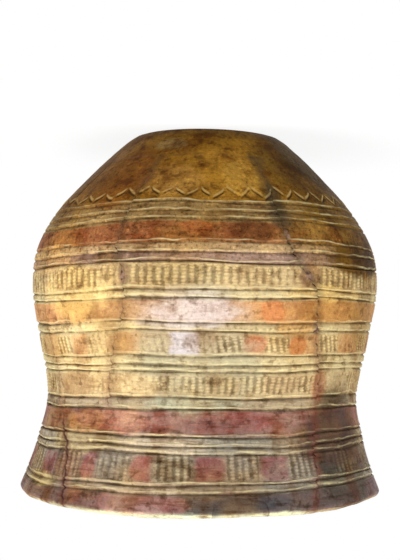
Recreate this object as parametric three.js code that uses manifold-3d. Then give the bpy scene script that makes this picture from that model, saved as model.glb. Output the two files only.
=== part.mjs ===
// A bell beaker of the early bronze age: a coil-built clay pot with a small flat foot, a full belly,
// a waist and a flared lip, broken long ago and put together again from its sherds.
// Millimetres, +Z up, origin at the middle of the foot's underside. The front faces -Y.
// Angles are in degrees round the pot from the front, and grow towards +X.

import * as THREE from "three";
import { mergeVertices } from "three/addons/utils/BufferGeometryUtils.js";
import Module from "manifold-3d";

// The pot's own sizes.
const HEIGHT = 136.4;
const FOOT_RADIUS = 27.8;
const FOOT_ROUND_RADIUS = 32;
const FOOT_ROUND_HEIGHT = 3;
const BELLY_RADIUS = 66.4;
const BELLY_HEIGHT = 55.8;
const WAIST_RADIUS = 59.4;
const WAIST_HEIGHT = 99.3;
const RIM_RADIUS = 68.6;
const WALL = 6;
const FLOOR = 7.4;
const FLOOR_COVE = 9;
const LIP_ROUND = 2.4;

// How the outline swells between those places: share of the way up, share of the way out.
const FLANK_SWELL = [[0.22, 0.35], [0.5, 0.727], [0.75, 0.947]];
const NECK_SWELL = [[0.5, 0.45]];
const LIP_FLARE = [[0.42, 0.29], [0.76, 0.66]];

// Heights of the coil joins, where the pot broke along its rings, and the waves that a join makes round
// the pot.
const FOOT_JOIN = 11.5;
const LOWER_JOIN = 51.1;
const UPPER_JOIN = 101.4;
const JOIN_WAVES = [{ times: 3, rise: 0.5 }, { times: 7, rise: 0.3 }];

// Heights of the rings that were drawn round the pot in the damp clay, and the size of such a groove.
const RINGS = [
  30.2, 33.6, 36.5, 44.4, 47.8, 60.5, 63.2, 71.5, 74.5, 83, 86.1, 88.3, 97.5, 110.2, 113.5, 116, 125.8, 128.4,
];
const RING_WIDTH = 1.4;
const RING_DEPTH = 0.55;

// Clearance across a break, which the glue fills, and how finely the surfaces are divided.
const GLUE_GAP = 0.3;
const STEP_ANGLE = 7.5;
const STEP_HEIGHT = 4.6;
const WALL_LAYERS = 1;
const LIP_LAYERS = 4;
const COVE_STEPS = 3;
const SAME_PLACE = 1e-3;

// Breaks that run up the pot, as [height, angle] from the foot upwards.
const LEFT_BREAK = [
  [11, -25], [25, -24], [36, -24.5], [45, -26], [51, -29], [57, -34], [62, -36.5], [78, -38.5],
  [86, -41], [95, -43], [108, -41], [116, -39], [124, -39], [136, -34],
];
const RIGHT_BREAK = [
  [11, 24], [20, 24.5], [28, 26.5], [45, 28], [51, 26.5], [55, 25], [61, 24.5], [68, 25.5],
  [73, 26.5], [80, 29.5], [91, 32.5], [101, 33.5],
];
const RIM_RIGHT_BREAK = [[101, 57.5], [109, 54], [114, 50], [118, 48], [125, 46.5], [136, 43.5]];
const EDGE_BREAK = [[11, 58], [31, 61], [46, 60.5], [66, 63], [89, 60], [101, 62]];

// Breaks on the side that no photograph shows, tier by tier, as the angles that each leans from and to.
// They waver evenly on their way up.
const UNSEEN_BREAKS = {
  lower: [[131, 137], [212, 204], [262, 267]],
  belly: [[121, 114], [174, 183], [249, 246]],
  rim: [[104, 112], [176, 168], [252, 258]],
};
const WAVER = 2;
const WAVER_STEPS = 12;
const WAVER_TURN = 1.9;

// The chip at the lip, seen from the front as [sideways, below the lip]. It starts and ends above the lip.
const CHIP_OUTLINE = [[-24.6, -2.6], [-21.6, 5.2], [-15.4, 6.6], [-9.2, 7.2], [-4.3, 3.8], [-3, -2.6]];

// Plugs of toned filler where clay is lost along the breaks.
const FILLS = [
  { name: "fill_belly_left", along: LEFT_BREAK, height: 55, width: 5, tall: 6 },
  { name: "fill_belly_right", along: RIGHT_BREAK, height: 56, width: 3, tall: 6 },
  { name: "fill_flank_left", along: LEFT_BREAK, height: 41, width: 3.6, tall: 4.5 },
  { name: "fill_neck_left", along: LEFT_BREAK, height: 73, width: 3, tall: 3.6 },
];
const FILL_SIDES = 8;

const CLAY = { color: 0xa8683a, roughness: 0.62, metalness: 0 };
const FILLER = { color: 0x6b4a44, roughness: 0.85, metalness: 0 };

const wasm = await Module();
wasm.setup();

const radians = THREE.MathUtils.degToRad;
const blend = THREE.MathUtils.lerp;

// Places of the outline as [height, radius], from the foot to the lip.
function between(low, high, shares) {
  return shares.map(([up, out]) => [blend(low[0], high[0], up), blend(low[1], high[1], out)]);
}
const footEdge = [0, FOOT_RADIUS];
const footRound = [FOOT_ROUND_HEIGHT, FOOT_ROUND_RADIUS];
const belly = [BELLY_HEIGHT, BELLY_RADIUS];
const waist = [WAIST_HEIGHT, WAIST_RADIUS];
const rim = [HEIGHT - LIP_ROUND, RIM_RADIUS];
const outline = [
  footEdge,
  footRound,
  ...between(footRound, belly, FLANK_SWELL),
  belly,
  ...between(belly, waist, NECK_SWELL),
  waist,
  ...between(waist, rim, LIP_FLARE),
  rim,
];

// Slope of the outline at each of its places: level at the belly and the waist.
function slopeAt(k) {
  if (outline[k] === belly || outline[k] === waist) return 0;
  const [below, above] = [outline[Math.max(k - 1, 0)], outline[Math.min(k + 1, outline.length - 1)]];
  return (above[1] - below[1]) / (above[0] - below[0]);
}

// Outside radius at a height, on a smooth curve through the outline's places.
function outerRadius(height) {
  const level = Math.min(height, rim[0]);
  const k = Math.max(outline.findIndex(([z]) => z >= level), 1);
  const [[z0, r0], [z1, r1]] = [outline[k - 1], outline[k]];
  const span = z1 - z0;
  const t = (level - z0) / span;
  const rise = t * t * (3 - 2 * t);
  const leave = t * (1 - t) * (1 - t) * span * slopeAt(k - 1);
  const arrive = t * t * (t - 1) * span * slopeAt(k);
  return blend(r0, r1, rise) + leave + arrive;
}

// Inside radius at a height: the wall is equally thick wherever it leans.
function innerRadius(height) {
  const reach = 0.5;
  const level = Math.min(height, rim[0] - reach);
  const lean = (outerRadius(level + reach) - outerRadius(level - reach)) / (2 * reach);
  return outerRadius(height) - WALL * Math.hypot(1, lean);
}

// How far a coil join rises or falls at an angle.
function wander(angle, join) {
  const turn = radians(angle);
  const waveAt = ({ times, rise }, k) => rise * Math.sin(times * turn + (k + 1) * join);
  return JOIN_WAVES.map(waveAt).reduce((sum, wave) => sum + wave);
}

// Angle of a break at a height.
function angleAt(path, height) {
  let k = path.findIndex(([z]) => z >= height);
  if (k < 0) k = path.length - 1;
  k = Math.max(k, 1);
  const [[z0, a0], [z1, a1]] = [path[k - 1], path[k]];
  return blend(a0, a1, THREE.MathUtils.clamp((height - z0) / (z1 - z0), 0, 1));
}

function unseenBreak([low, high]) {
  return Array.from({ length: WAVER_STEPS + 1 }, (_, k) => [
    (HEIGHT * k) / WAVER_STEPS,
    blend(low, high, k / WAVER_STEPS) + WAVER * Math.sin(k * WAVER_TURN + low),
  ]);
}

// The same break met again after a whole turn.
function onceRound(path) {
  return path.map(([z, a]) => [z, a + 360]);
}

function solidOf(geometry) {
  const bare = geometry.clone();
  bare.deleteAttribute("normal");
  bare.deleteAttribute("uv");
  const merged = mergeVertices(bare, SAME_PLACE);
  return new wasm.Manifold(
    new wasm.Mesh({
      numProp: 3,
      vertProperties: merged.attributes.position.array,
      triVerts: new Uint32Array(merged.index.array),
    }),
  );
}

function geometryOf(solid) {
  const mesh = solid.getMesh();
  const geometry = new THREE.BufferGeometry();
  geometry.setAttribute("position", new THREE.BufferAttribute(mesh.vertProperties, 3));
  geometry.setIndex(new THREE.BufferAttribute(mesh.triVerts, 1));
  geometry.computeVertexNormals();
  return geometry;
}

function place(point, radius, angle, height) {
  point.set(radius * Math.sin(radians(angle)), -radius * Math.cos(radians(angle)), height);
}

// The heights at which a sherd's surface bends: both sides and the bottom of each ring, with plain steps
// where those lie far apart.
function bendsBetween(low, high, rings) {
  const sides = rings.flatMap((ring) => [ring - RING_WIDTH / 2, ring, ring + RING_WIDTH / 2]);
  const bends = [low];
  for (const next of [...sides, high]) {
    const last = bends.at(-1);
    const steps = Math.ceil((next - last) / STEP_HEIGHT);
    for (let step = 1; step <= steps; step += 1) bends.push(blend(last, next, step / steps));
  }
  return bends;
}

// One sherd: a block bent to the pot's wall, between two breaks and two coil joins.
function sherdGeometry(tier, leftBreak, rightBreak) {
  const middle = (tier.low + tier.high) / 2;
  const width = angleAt(rightBreak, middle) - angleAt(leftBreak, middle);
  const low = tier.low + GLUE_GAP / 2;
  const high = tier.lip ? tier.high : tier.high - GLUE_GAP / 2;
  const ringTop = tier.lip ? high - LIP_ROUND : high;
  const rings = tier.rings.filter((ring) => ring - RING_WIDTH > low && ring + RING_WIDTH < ringTop);
  const bends = bendsBetween(low, high, rings);
  const geometry = new THREE.BoxGeometry(
    1, 1, 1,
    Math.ceil(width / STEP_ANGLE),
    tier.lip ? LIP_LAYERS : WALL_LAYERS,
    bends.length - 1,
  );
  const positions = geometry.attributes.position;
  const point = new THREE.Vector3();
  for (let k = 0; k < positions.count; k += 1) {
    point.fromBufferAttribute(positions, k);
    const [across, inwards, up] = [point.x + 0.5, point.y + 0.5, point.z + 0.5];
    const drop = tier.lip && up === 1 ? LIP_ROUND * (1 - Math.sqrt(1 - (2 * point.y) ** 2)) : 0;
    const bend = bends[Math.round(up * (bends.length - 1))];
    const level = bend - drop;
    const glue = THREE.MathUtils.radToDeg(GLUE_GAP / 2 / outerRadius(level));
    const angle = blend(angleAt(leftBreak, level) + glue, angleAt(rightBreak, level) - glue, across);
    const topWander = tier.lip ? 0 : wander(angle, tier.high);
    const height = level + blend(wander(angle, tier.low), topWander, (bend - low) / (high - low));
    const groove = rings.includes(bend) ? RING_DEPTH : 0;
    place(point, blend(outerRadius(height) - groove, innerRadius(height), inwards), angle, height);
    positions.setXYZ(k, point.x, point.y, point.z);
  }
  return geometry;
}

// The foot: a thick disc that turns up into the start of the wall, with a cove round the floor inside.
function footGeometry() {
  const top = FOOT_JOIN - GLUE_GAP / 2;
  const halfway = blend(FOOT_ROUND_HEIGHT, top, 0.5);
  const outsideHeights = [0, FOOT_ROUND_HEIGHT / 2, FOOT_ROUND_HEIGHT, halfway, top];
  const inside = innerRadius(top);
  const cove = Array.from({ length: COVE_STEPS + 1 }, (_, k) => {
    const turn = (k / COVE_STEPS) * (Math.PI / 2);
    return [inside - FLOOR_COVE * (1 - Math.cos(turn)), blend(top, FLOOR, Math.sin(turn))];
  });
  const profile = [[0, 0], ...outsideHeights.map((z) => [outerRadius(z), z]), ...cove, [0, FLOOR]];
  const points = profile.map(([r, z]) => new THREE.Vector2(r, z));
  const geometry = new THREE.LatheGeometry(points, Math.round(360 / STEP_ANGLE));
  geometry.rotateX(Math.PI / 2);
  const positions = geometry.attributes.position;
  for (let k = 0; k < positions.count; k += 1) {
    if (positions.getZ(k) < top - SAME_PLACE) continue;
    const angle = THREE.MathUtils.radToDeg(Math.atan2(positions.getX(k), -positions.getY(k)));
    positions.setZ(k, positions.getZ(k) + wander(angle, FOOT_JOIN));
  }
  return geometry;
}

// A straight plug through the wall, with its outline drawn as [sideways, height] from outside.
function plugThrough(corners, angle, nearest, furthest) {
  const shape = new THREE.Shape(corners.map(([x, z]) => new THREE.Vector2(x, z)));
  const geometry = new THREE.ExtrudeGeometry(shape, { depth: furthest - nearest, bevelEnabled: false });
  geometry.rotateX(Math.PI / 2);
  geometry.translate(0, -nearest, 0);
  geometry.rotateZ(radians(angle));
  return solidOf(geometry);
}

// The same outline, drawn anticlockwise, with each side moved outwards.
function grown(corners, by) {
  const points = corners.map(([x, z]) => new THREE.Vector2(x, z));
  const outwards = points.map((point, k) => {
    const along = points[(k + 1) % points.length].clone().sub(point).normalize();
    return new THREE.Vector2(along.y, -along.x);
  });
  return points.map((point, k) => {
    const before = outwards[(k + points.length - 1) % points.length];
    const corner = before.clone().add(outwards[k]).divideScalar(1 + before.dot(outwards[k]));
    return [point.x + by * corner.x, point.y + by * corner.y];
  });
}

function fillOutline({ height, width, tall }) {
  return Array.from({ length: FILL_SIDES }, (_, k) => {
    const turn = (2 * Math.PI * (k + 0.5)) / FILL_SIDES;
    return [(width / 2) * Math.cos(turn), height + (tall / 2) * Math.sin(turn)];
  });
}

const tiers = [
  {
    name: "lower",
    low: FOOT_JOIN,
    high: LOWER_JOIN,
    rings: RINGS,
    sides: ["front", "front_right", "right", "back", "back_left", "left"],
    breaks: [LEFT_BREAK, RIGHT_BREAK, EDGE_BREAK, ...UNSEEN_BREAKS.lower.map(unseenBreak)],
  },
  {
    name: "belly",
    low: LOWER_JOIN,
    high: UPPER_JOIN,
    rings: RINGS,
    sides: ["front", "front_right", "right", "back_right", "back_left", "left"],
    breaks: [LEFT_BREAK, RIGHT_BREAK, EDGE_BREAK, ...UNSEEN_BREAKS.belly.map(unseenBreak)],
  },
  {
    name: "rim",
    low: UPPER_JOIN,
    high: HEIGHT,
    rings: RINGS,
    lip: true,
    sides: ["front", "right", "back_right", "back_left", "left"],
    breaks: [LEFT_BREAK, RIM_RIGHT_BREAK, ...UNSEEN_BREAKS.rim.map(unseenBreak)],
  },
];

// The last sherd of a tier ends where its first one begins, a turn further on.
const sherds = new Map([["foot_sherd", solidOf(footGeometry())]]);
for (const tier of tiers) {
  const round = [...tier.breaks, onceRound(tier.breaks[0])];
  tier.sides.forEach((side, k) => {
    sherds.set(`${tier.name}_${side}_sherd`, solidOf(sherdGeometry(tier, round[k], round[k + 1])));
  });
}

// The smooth stretch of wall that a fill is cut from, larger than the fill by more than a wall.
function wallBehind({ height, width, tall }, angle) {
  const spread = THREE.MathUtils.radToDeg((width + 2 * WALL) / innerRadius(height));
  const strip = { low: height - tall, high: height + tall, rings: [] };
  const edge = (side) => [[0, angle + (side * spread) / 2], [HEIGHT, angle + (side * spread) / 2]];
  return solidOf(sherdGeometry(strip, edge(-1), edge(1)));
}

// A plug reaches from well inside the wall to well outside it.
const clear = BELLY_RADIUS / 2;
const beyond = BELLY_RADIUS + RIM_RADIUS;
const fills = new Map();
for (const fill of FILLS) {
  const angle = angleAt(fill.along, fill.height);
  const corners = fillOutline(fill);
  fills.set(fill.name, wallBehind(fill, angle).intersect(plugThrough(corners, angle, clear, beyond)));
  const hole = plugThrough(grown(corners, GLUE_GAP), angle, clear, beyond);
  for (const [name, sherd] of sherds) sherds.set(name, sherd.subtract(hole));
}

// The chip is the piece of the front rim sherd inside its outline.
const rimFront = sherds.get("rim_front_sherd");
const chipCorners = CHIP_OUTLINE.map(([x, below]) => [x, HEIGHT - below]);
const chip = rimFront.intersect(plugThrough(chipCorners, 0, clear, beyond));
const chipHole = plugThrough(grown(chipCorners, GLUE_GAP), 0, clear, beyond);
sherds.set("rim_front_sherd", rimFront.subtract(chipHole));
sherds.set("rim_chip", chip);

const beaker = new THREE.Group();
for (const [pieces, look] of [[sherds, CLAY], [fills, FILLER]]) {
  for (const [name, solid] of pieces) {
    const mesh = new THREE.Mesh(geometryOf(solid), new THREE.MeshStandardMaterial(look));
    mesh.name = name;
    beaker.add(mesh);
  }
}

export default beaker;
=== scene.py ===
import math

import bmesh
import bpy
import numpy as np
from mathutils import Matrix, Vector


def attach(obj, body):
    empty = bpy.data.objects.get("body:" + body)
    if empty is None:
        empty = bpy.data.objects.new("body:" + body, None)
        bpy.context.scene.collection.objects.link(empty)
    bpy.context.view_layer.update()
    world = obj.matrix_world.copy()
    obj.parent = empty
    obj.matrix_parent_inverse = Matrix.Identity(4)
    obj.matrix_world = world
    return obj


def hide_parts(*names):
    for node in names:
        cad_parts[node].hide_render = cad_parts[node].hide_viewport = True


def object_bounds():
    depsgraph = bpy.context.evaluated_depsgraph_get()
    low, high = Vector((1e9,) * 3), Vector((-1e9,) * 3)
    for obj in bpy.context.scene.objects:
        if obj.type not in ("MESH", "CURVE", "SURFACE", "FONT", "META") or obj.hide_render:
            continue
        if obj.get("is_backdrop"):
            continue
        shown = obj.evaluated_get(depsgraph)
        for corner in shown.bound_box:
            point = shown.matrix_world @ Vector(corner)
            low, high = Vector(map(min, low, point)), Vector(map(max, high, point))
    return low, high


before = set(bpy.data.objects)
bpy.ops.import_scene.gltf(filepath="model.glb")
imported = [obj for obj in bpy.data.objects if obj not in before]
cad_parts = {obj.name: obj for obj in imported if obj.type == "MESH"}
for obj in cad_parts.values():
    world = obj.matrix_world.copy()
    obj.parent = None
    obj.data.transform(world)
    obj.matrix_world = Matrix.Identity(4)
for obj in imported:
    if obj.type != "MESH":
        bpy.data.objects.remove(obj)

cad_low, cad_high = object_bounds()

# The clay wall. The beaker is built up from coils of reddish clay on a thick round foot, smoothed inside
# and out, so one outline gives its outside from the foot to the lip. Heights and radii are in millimetres,
# angles in degrees round the pot from the front, growing towards +X.
MM = 0.001
HEIGHT = cad_high.z / MM
WALL = 6
FLOOR = 7.4
LIP_ROUND = 2.4
RIM_HEIGHT = HEIGHT - LIP_ROUND
FOOT_RADIUS = 27.8
FOOT_ROUND = (3, 32)
BELLY = (55.8, 66.4)
WAIST = (99.3, 59.4)
RIM = (RIM_HEIGHT, 68.6)


def between(low, high, shares):
    """Places between two others, each given as its share of the way up and of the way out."""
    return [(low[0] + up * (high[0] - low[0]), low[1] + out * (high[1] - low[1])) for up, out in shares]


outline = np.array(
    [
        (0, FOOT_RADIUS),
        FOOT_ROUND,
        *between(FOOT_ROUND, BELLY, [(0.22, 0.35), (0.5, 0.727), (0.75, 0.947)]),
        BELLY,
        *between(BELLY, WAIST, [(0.5, 0.45)]),
        WAIST,
        *between(WAIST, RIM, [(0.42, 0.29), (0.76, 0.66)]),
        RIM,
    ]
)
places, radii = outline.T
below = np.maximum(np.arange(len(places)) - 1, 0)
above = np.minimum(np.arange(len(places)) + 1, len(places) - 1)
slopes = (radii[above] - radii[below]) / (places[above] - places[below])
slopes[np.isin(places, (BELLY[0], WAIST[0]))] = 0


def outer_radius(height):
    """The outside radius at each height, on a smooth curve through the outline's places."""
    level = np.clip(height, 0, RIM_HEIGHT)
    k = np.clip(np.searchsorted(places, level), 1, len(places) - 1)
    span = places[k] - places[k - 1]
    t = (level - places[k - 1]) / span
    rise = t * t * (3 - 2 * t)
    leave = t * (1 - t) ** 2 * span * slopes[k - 1]
    arrive = t * t * (t - 1) * span * slopes[k]
    return radii[k - 1] * (1 - rise) + radii[k] * rise + leave + arrive


def widening(height):
    """How fast the outside widens as it rises."""
    level = np.clip(height, 0.5, RIM_HEIGHT - 0.5)
    return outer_radius(level + 0.5) - outer_radius(level - 0.5)


def inner_radius(height):
    """The inside radius: in from the outside by the wall's thickness, square to the wall."""
    return outer_radius(height) - WALL * np.hypot(1, widening(height))


def on_pot(angle, radius, height):
    """Points in space from angles, radii and heights."""
    turn = np.radians(angle)
    return np.stack([radius * np.sin(turn), -radius * np.cos(turn), height], axis=-1)


def clouds(points, size, seed):
    """Smooth random values from -1 to 1 at points in space, with lumps of the given size."""
    table = np.random.default_rng(seed).uniform(-1, 1, (32, 32, 32))
    q = np.asarray(points) / size + 1000
    cell = np.floor(q).astype(int)
    f = q - cell
    f = f * f * (3 - 2 * f)
    total = 0
    for corner in np.ndindex(2, 2, 2):
        weight = np.prod(np.where(corner, f, 1 - f), axis=-1)
        x, y, z = np.moveaxis((cell + corner) % 32, -1, 0)
        total = total + weight * table[x, y, z]
    return total


def handwork(angle, height):
    """How far the outside stands off its even outline, as fingers and a pebble left it."""
    here = on_pot(angle, outer_radius(height), height)
    return 0.34 * clouds(here, 23, 11) + 0.13 * clouds(here, 7, 12) + 0.05 * clouds(here, 2.4, 13)


# The rings. They were drawn round the pot freehand while the clay was damp, with a blunt point that pushed
# up a low burr on each side, so they waver, swell and fade. They split the wall into bands. Each ring is
# given by its height and depth.
RINGS = [
    (128.4, 0.55), (125.8, 0.7), (116.0, 0.65), (113.5, 0.8), (110.2, 0.9), (101.3, 0.9), (97.5, 0.8),
    (88.3, 0.6), (86.1, 0.7), (83.0, 0.6), (74.5, 0.6), (71.5, 0.7), (63.2, 0.6), (60.5, 0.55),
    (51.2, 0.75), (47.8, 0.5), (44.4, 0.5), (36.5, 0.5), (33.6, 0.45), (30.2, 0.45),
]
# The rows of the mesh: their places across a ring, the bands that hold small marks, and the distances
# between rows inside and outside those bands.
RING_ROWS = np.array([-1.5, -1.15, -0.85, -0.6, -0.4, -0.2, 0, 0.2, 0.4, 0.6, 0.85, 1.15, 1.5])
MARKED_BANDS = [(24.3, 29.3), (52, 59.4), (75.4, 82.2), (89, 96.2), (112, 124.8)]
FINE_ROW = 0.34
PLAIN_ROW = 0.65
LEAST_ROW = 0.09

# How wide a ring's bed is, and how far its burrs lie from its middle.
RING_WIDTH = 0.4
BURR_AWAY = 0.82


def rows_between(low, high):
    """Levels for the rows of a mesh: close together across each ring and in the bands that hold small
    marks, and further apart between them."""
    close = np.concatenate([place + RING_ROWS for place, _ in RINGS] + MARKED_BANDS)
    stops = np.unique(np.round(np.concatenate([[low, high], close[(close > low) & (close < high)]]), 3))
    stops = stops[np.concatenate([[True], np.diff(stops) > LEAST_ROW])]
    stops[-1] = high
    rows = []
    for a, b in zip(stops, stops[1:]):
        marked = any(start < (a + b) / 2 < end for start, end in MARKED_BANDS)
        step = FINE_ROW if marked else PLAIN_ROW
        rows.extend(np.linspace(a, b, max(2, math.ceil((b - a) / step) + 1))[:-1])
    return np.array([*rows, high])


def drift(angle, level, low_end, high_end):
    """How far the rings and bands ride above their even level. They rise on the right of the front."""
    turn = np.radians(angle)
    waves = 0.22 * np.sin(3 * turn + 0.3 * level) + 0.14 * np.sin(7 * turn + 0.55 * level)
    waves = waves + 0.3 * clouds(on_pot(angle, outer_radius(level), level * 0.8), 13, 40)
    aside = np.mod(angle + 90, 360) - 90
    climb = 1.7 * np.clip((aside - 30) / 32, 0, 1) * np.clip((170 - aside) / 90, 0, 1)
    swing = 0.3 * np.sin(2 * turn + 0.6)
    held = np.clip((level - low_end) / 8, 0, 1) * np.clip((high_end - level) / 7, 0, 1)
    return (waves + climb + swing) * held


def lip_rise(angle):
    """How far the lip rides above its even height: up in front on the right, down on the left."""
    aside = np.mod(angle + 180, 360) - 180
    front = 0.7 * np.exp(-(((aside - 26) / 34) ** 2)) - 0.35 * np.exp(-(((aside + 24) / 12) ** 2))
    return front - 1.5 * np.exp(-(((aside + 66) / 17) ** 2)) + 0.25 * np.sin(np.radians(2 * aside))


def rings(angle, level):
    """Depth of the drawn rings in millimetres, and masks for their beds, darkened with soil and painted
    shade, and for their burrs, painted pale as lit from above, the lower burr more.
    """
    here = on_pot(angle, outer_radius(level), level * 1.6)
    wide = 1.0 + 0.4 * clouds(here, 10, 41) + 0.3 * clouds(here, 3.5, 42)
    wide = wide + 2.2 * np.clip(clouds(here, 13, 47) - 0.35, 0, 1) * np.clip(level / 50 - 1, 0, 1)
    faint = np.clip(0.86 + 0.3 * clouds(here, 14, 43) + 0.2 * clouds(here, 5, 44), 0.3, 1.2)
    depth, bed, burr = 0 * level, 0 * level, 0 * level
    for place, deep in RINGS:
        away = level - place
        cut = np.exp(-((away / (RING_WIDTH * wide)) ** 2))
        under = np.exp(-(((away + BURR_AWAY * wide) / 0.36) ** 2))
        over = np.exp(-(((away - BURR_AWAY * wide) / 0.34) ** 2))
        depth = depth + deep * faint * (cut - 0.24 * under - 0.12 * over)
        bed = bed + faint * cut * min(1, deep / 0.6)
        burr = burr + faint * (under + 0.4 * over)
    return depth, bed, burr


# The comb groups. In two bands a toothed comb of bone was stamped in groups of upright rows, with plain
# burnished panels left between them. Each group is a stretch of angles; the last line holds the short
# rows that stray over a narrow band.
groups_low = [(-49, -39.5), (-28, -20), (-12, 0.5), (10.5, 20), (29, 40), (48, 57)]
groups_high = [(-57, -48), (-39, -28), (-18, -7.5), (2.5, 14), (22.5, 34), (41, 52.5)]
groups_low += [(start, start + 9.5) for start in range(68, 300, 20)]
groups_high += [(start, start + 10.5) for start in range(62, 290, 20)]
groups_cord = [(-34, -14), (44, 60), (110, 135), (190, 210)]


def in_groups(angle, groups, soft=1.0):
    """1 inside the groups and 0 between them, with edges of the given softness in degrees."""
    turned = np.mod(angle + 62, 360) - 62
    inside = [np.minimum(turned - low, high - turned) / soft + 0.5 for low, high in groups]
    return np.max(np.clip(inside, 0, 1), axis=0)


# Each comb band: degrees between rows, lean of the rows, its lowest and highest level, and its groups,
# or None where the rows go all the way round.
combs = [
    (2.5, 0.0, 52.3, 59.1, None),
    (2.4, -0.02, 89.3, 95.9, None),
    (2.15, 0.22, 75.7, 82.0, groups_low),
    (2.35, 0.03, 112.2, 124.6, groups_high),
    (2.2, 0.1, 72.3, 73.9, groups_cord),
]

# From tooth to tooth of the comb, and the chances that make each row and stroke differ.
TOOTH = 1.12
CHANCES = np.random.default_rng(9).uniform(0, 1, 512)

# Where the comb's rows are rubbed away: angle, level, width, height, strength.
rubbed_away = [
    (-52, 93, 9, 5, 0.95), (50, 93, 12, 5, 0.8), (24, 93, 10, 6, 0.45), (-33, 55.5, 3.5, 5, 0.9),
    (24.5, 55, 2, 5, 0.8), (-12, 114, 40, 2.2, 0.5), (30, 114, 26, 2.6, 0.8), (80, 56, 9, 6, 0.5),
]


def combed(angle, level):
    """How far the clay stands up between the holes that the comb's teeth left, from 0 to 1, and where it
    was stamped."""
    here = on_pot(angle, outer_radius(level), level)
    sway, fine = clouds(here, 5, 81), clouds(here, 1.4, 82)
    left_of_it = np.clip(1.0 + 0.4 * clouds(here, 11, 83) + 0.3 * clouds(here, 3, 84), 0.65, 1)
    for at, height, wide, tall, strength in rubbed_away:
        away = ((angle - at) / wide) ** 2 + ((level - height) / tall) ** 2
        left_of_it = left_of_it * (1 - strength * np.exp(-(away**2)))
    bead, stamp = 0 * level, 0 * level
    for k, (pitch, lean, low, high, groups) in enumerate(combs):
        across = (angle + level * lean) / pitch
        row = np.floor(across).astype(int)
        chance = CHANCES[(row + 77 * k) % 512]
        off = across - row - 0.5 + 0.12 * (chance - 0.5) + 0.1 * sway + 0.07 * fine
        stripe = (0.5 + 0.5 * np.cos(2 * np.pi * off)) ** 0.75
        tooth = 0.5 + 0.5 * np.cos(2 * np.pi * level / TOOTH + 6 * chance + 1.3 * fine)
        ragged = 0.8 * (chance - 0.5)
        where = np.clip((level - low - ragged) / 0.5, 0, 1) * np.clip((high + ragged - level) / 0.5, 0, 1)
        if groups:
            where = where * np.clip(2 * in_groups(angle, groups) - 0.5, 0, 1)
        bead = bead + where * left_of_it * stripe * (0.5 + 0.5 * tooth)
        stamp = stamp + where * left_of_it
    return bead, stamp


# The zigzag under the lowest rings. It was cut with a few quick strokes of a point, one leg at a time, so
# the legs miss each other, bow a little and carry a low burr on their lower sides. One full zigzag goes
# through ZIGZAG_TURN degrees.
ZIGZAG_LOW, ZIGZAG_TALL, ZIGZAG_TURN = 25.1, 3.3, 9.4


def zigzag(angle, level):
    """How far each place lies above the nearest cut, in millimetres, and how firmly that cut was drawn."""
    here = on_pot(angle, outer_radius(level), level)
    swing = angle / ZIGZAG_TURN + 0.22 + 0.035 * clouds(here, 9, 91)
    leg = np.floor(swing * 2).astype(int)
    chance, other = CHANCES[leg % 512], CHANCES[(leg + 200) % 512]
    along = np.abs((swing - np.floor(swing)) * 2 - 1)
    bow = (0.45 * other - 0.1) * np.sin(np.pi * along)
    tall = ZIGZAG_TALL * (1 - 0.3 * np.clip(np.sin(np.radians(angle * 1.6)), 0, 1))
    above = level - ZIGZAG_LOW - (ZIGZAG_TALL - tall) * 0.8 - tall * along - bow
    above = above + 1.1 * (chance - 0.5) + 0.2 * clouds(here, 2.5, 92)
    ends = np.clip((along - 0.12 * other) / 0.1, 0, 1) * np.clip((1.02 - 0.16 * chance - along) / 0.1, 0, 1)
    return 0.82 * above, ends * np.clip(0.45 + 0.8 * other + 0.3 * clouds(here, 4, 93), 0, 1)


# The breaks. The pot broke along two of its coil joins and in lines that run up the wall, and the sherds
# were glued together again edge to edge. Each break is a list of heights and angles.
FOOT_JOIN, LOWER_JOIN, UPPER_JOIN = 11.5, 51.1, 101.4

left_break = [
    (11, -25), (25, -24), (36, -24.5), (45, -26), (51, -29), (57, -34), (62, -36.5), (78, -38.5),
    (86, -41), (95, -43), (108, -41), (116, -39), (124, -39), (136, -34),
]
right_break = [
    (11, 24), (20, 24.5), (28, 26.5), (45, 28), (51, 26.5), (55, 25), (61, 24.5), (68, 25.5),
    (73, 26.5), (80, 29.5), (91, 32.5), (101, 33.5),
]
rim_right_break = [(101, 57.5), (109, 54), (114, 50), (118, 48), (125, 46.5), (136, 43.5)]
edge_break = [(11, 58), (31, 61), (46, 60.5), (66, 63), (89, 60), (101, 62)]


def plain_break(low, high):
    """A break on the unseen side, which wanders up the wall from one angle to another."""
    steps, waver, swings = 12, 2, 1.9
    shares = np.arange(steps + 1) / steps
    angles = low + (high - low) * shares + waver * np.sin(shares * steps * swings + low)
    return list(zip(HEIGHT * shares, angles))


def angle_at(path, level):
    """The angle of a break at each level, with the small jags of a fracture."""
    heights, angles = zip(*path)
    start = angles[0] % 360
    jags = 0.35 * np.sin(level * 1.3 + start) + 0.2 * np.sin(level * 3.1 + 2 * start)
    return np.interp(level, heights, angles) + jags


def bent_block(name, columns, rows, shape):
    """A closed block of columns by rows, with each corner moved to where shape says. shape gets how far
    across and up the corners are, from 0 to 1, and which of them lie inside, and gives places in
    millimetres and the marks that the finish reads."""
    bm = bmesh.new()
    bmesh.ops.create_grid(bm, x_segments=columns, y_segments=rows, size=0.5)
    bmesh.ops.solidify(bm, geom=bm.faces[:], thickness=1)
    mesh = bpy.data.meshes.new(name)
    bm.to_mesh(mesh)
    bm.free()
    flat = np.empty(len(mesh.vertices) * 3)
    mesh.vertices.foreach_get("co", flat)
    flat = flat.reshape(-1, 3)
    spots, marks = shape(flat[:, 0] + 0.5, flat[:, 1] + 0.5, np.abs(flat[:, 2]) > 0.5)
    mesh.vertices.foreach_set("co", (spots * MM).astype(np.float32).ravel())
    return finished_mesh(mesh, marks)


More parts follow.
